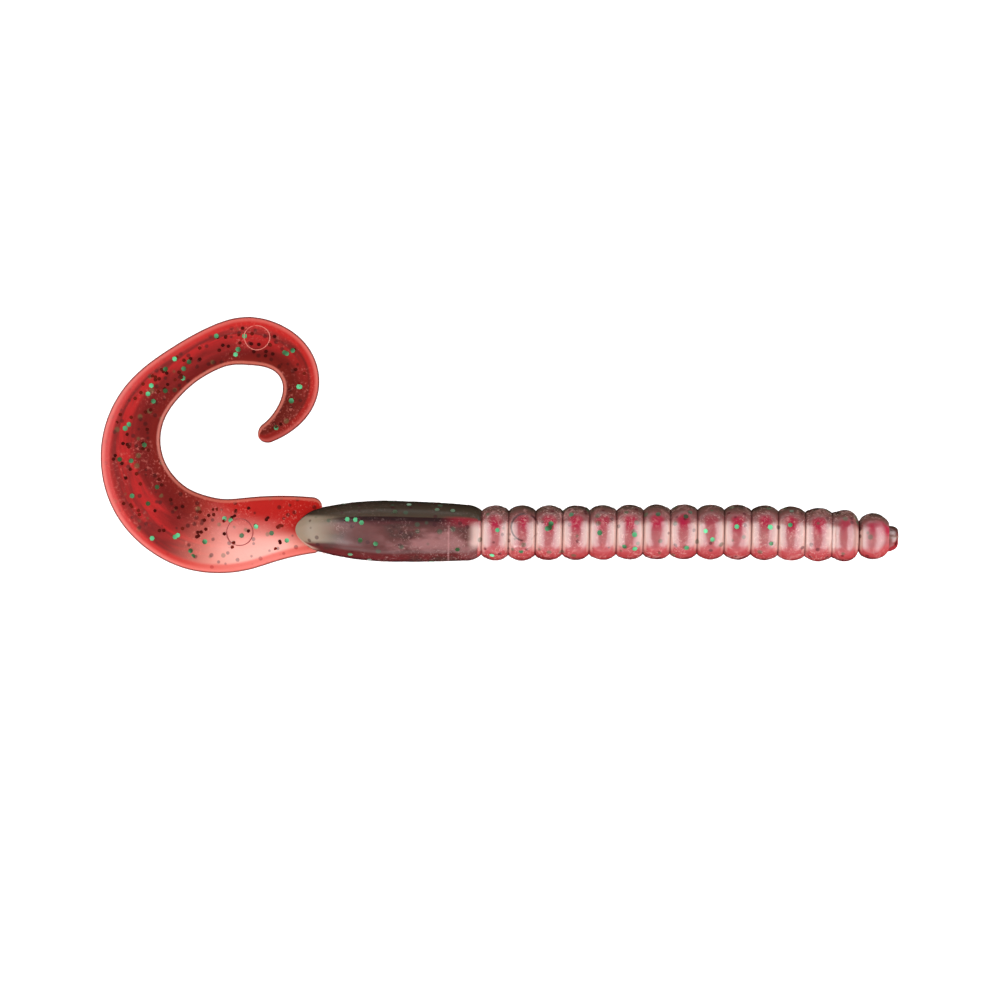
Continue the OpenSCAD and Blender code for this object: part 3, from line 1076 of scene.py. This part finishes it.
def make_glitter():
    """Flakes for the ribs, the head and the tail's flex zones, and the material of the CAD's own flakes."""
    rng = random.Random(GLITTER_SEED)
    for i in range(1, RIBS + 1):
        x, y, half, radius = node_place(rib_name(i))
        flakes = rib_flakes(rng, (x, y), half, radius, CROWN_R, rng.randint(*RIB_FLAKES))
        piece = flake_piece(f"green_flakes_{rib_name(i)}", flakes, rib_green_material)
        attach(piece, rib_name(i))
    _, y, half, radius = node_place("head_ball")
    flakes = rib_flakes(rng, (HEAD_CREST_X, y + HEAD_SHIFT_Y), half, radius, HEAD_CROWN_R, HEAD_FLAKES)
    piece = flake_piece("green_flakes_head", flakes, rib_green_material)
    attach(piece, "head")
    for k in range(1, TAIL_JOINTS + 1):
        at_tip = k == TAIL_JOINTS
        start = web_place(k) - FLEX_FLAKES_SPAN
        end = TAIL_L - TAIL_END_R if at_tip else web_place(k) + FLEX_FLAKES_SPAN
        for colour, width, material in (("green", GREEN_D, green_material), ("dark", DARK_D, dark_material)):
            count = FLEX_FLAKES[colour] + (TIP_FLAKES_MORE if at_tip else 0)
            flakes = tail_flakes(rng, start, end, count, width)
            piece = flake_piece(f"{colour}_flakes_flex_{k}", flakes, material)
            bend_with_tail(piece, k)
    for name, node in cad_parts.items():
        if "flakes" in name:
            film = green_material if name.startswith("green") else dark_material
            node.data.materials.clear()
            node.data.materials.append(collar_green_material if name == "green_flakes_collar" else film)


# ---------------------------------------------------------------- stage

# Lengths in metres. The walls' and ceiling's heights are the upward share of a unit vector towards them.
TABLE_SIDE = 3.0
TABLE_DROP = 0.0115
VIEW_WIDTH = 0.156
VIEW_ROLL = math.radians(1.1)
VIEW_DROP = 0.0078
LENS_MM = 300
SENSOR_MM = 36
CEILING_LIGHT = 0.05
WALL_LIGHT = 0.68
WALL_TOP = 0.1
CEILING_START = 0.22
BOX_OUT = 0.43
BOX_UP = 0.34
BOX_FORWARD = 0.24
BOX_SIZE = (1.33, 0.49)
BOX_POWER = 7.0


def make_table():
    """A white table a little below the worm, so that no pose dips into it and no shadow shows."""
    bpy.ops.mesh.primitive_plane_add(size=TABLE_SIDE, location=(cad_low.x / 2, 0, cad_low.z - TABLE_DROP))
    table = bpy.context.object
    table.name = "table"
    table.data.materials.append(table_top())


def make_camera():
    """Straight above, a long way up, and turned a little, as the photo was taken."""
    data = bpy.data.cameras.new("camera")
    data.lens = LENS_MM
    data.sensor_width = SENSOR_MM
    camera = bpy.data.objects.new("camera", data)
    bpy.context.scene.collection.objects.link(camera)
    aim = (cad_low + cad_high) / 2
    away = VIEW_WIDTH * LENS_MM / SENSOR_MM
    drop = Vector((math.sin(VIEW_ROLL), -math.cos(VIEW_ROLL), 0)) * VIEW_DROP
    camera.location = Vector((aim.x, aim.y, 0)) + drop + Vector((0, 0, away))
    camera.rotation_euler = (0, 0, VIEW_ROLL)
    data.clip_end = 10
    bpy.context.scene.camera = camera


def softbox(name, place, size, power):
    data = bpy.data.lights.new(name, "AREA")
    data.shape = "RECTANGLE"
    data.size, data.size_y = size
    data.energy = power
    light = bpy.data.objects.new(name, data)
    bpy.context.scene.collection.objects.link(light)
    aim = Vector(((cad_low.x + cad_high.x) / 2, 0, 0))
    light.location = Vector(place) + aim
    light.rotation_mode = "QUATERNION"
    level = Vector((aim.x, light.location.y, aim.z))
    light.rotation_quaternion = (level - light.location).to_track_quat("-Z", "Y")
    light.visible_camera = False


def make_studio():
    """A dark ceiling over pale walls, which only show low down, beyond the table."""
    world = bpy.data.worlds.new("studio")
    world.use_nodes = True
    nodes = world.node_tree.nodes
    links = world.node_tree.links
    up = nodes.new("ShaderNodeSeparateXYZ")
    links.new(nodes.new("ShaderNodeTexCoord").outputs["Generated"], up.inputs[0])
    wall = nodes.new("ShaderNodeMapRange")
    wall.interpolation_type = "SMOOTHSTEP"
    wall.inputs["From Min"].default_value = WALL_TOP
    wall.inputs["From Max"].default_value = CEILING_START
    wall.inputs["To Min"].default_value = WALL_LIGHT
    wall.inputs["To Max"].default_value = CEILING_LIGHT
    links.new(up.outputs["Z"], wall.inputs["Value"])
    links.new(wall.outputs[0], nodes["Background"].inputs["Strength"])
    nodes["Background"].inputs["Color"].default_value = (1, 1, 1, 1)
    bpy.context.scene.world = world


def make_lights():
    """Two long softboxes overhead, left and right, that leave a dark gap above the camera's line."""
    for name, side in (("box_left", -1), ("box_right", 1)):
        softbox(name, (side * BOX_OUT, -BOX_FORWARD, BOX_UP), BOX_SIZE, BOX_POWER)
    bpy.context.scene.view_settings.view_transform = "Standard"


make_camera()
make_body()
make_tail()
for mark, ridge_material in zip(TAIL_MARKS, (mark_material, pale_mark_material)):
    make_tail_mark(*mark, ridge_material)
make_flash()
make_glitter()
make_table()
make_studio()
make_lights()
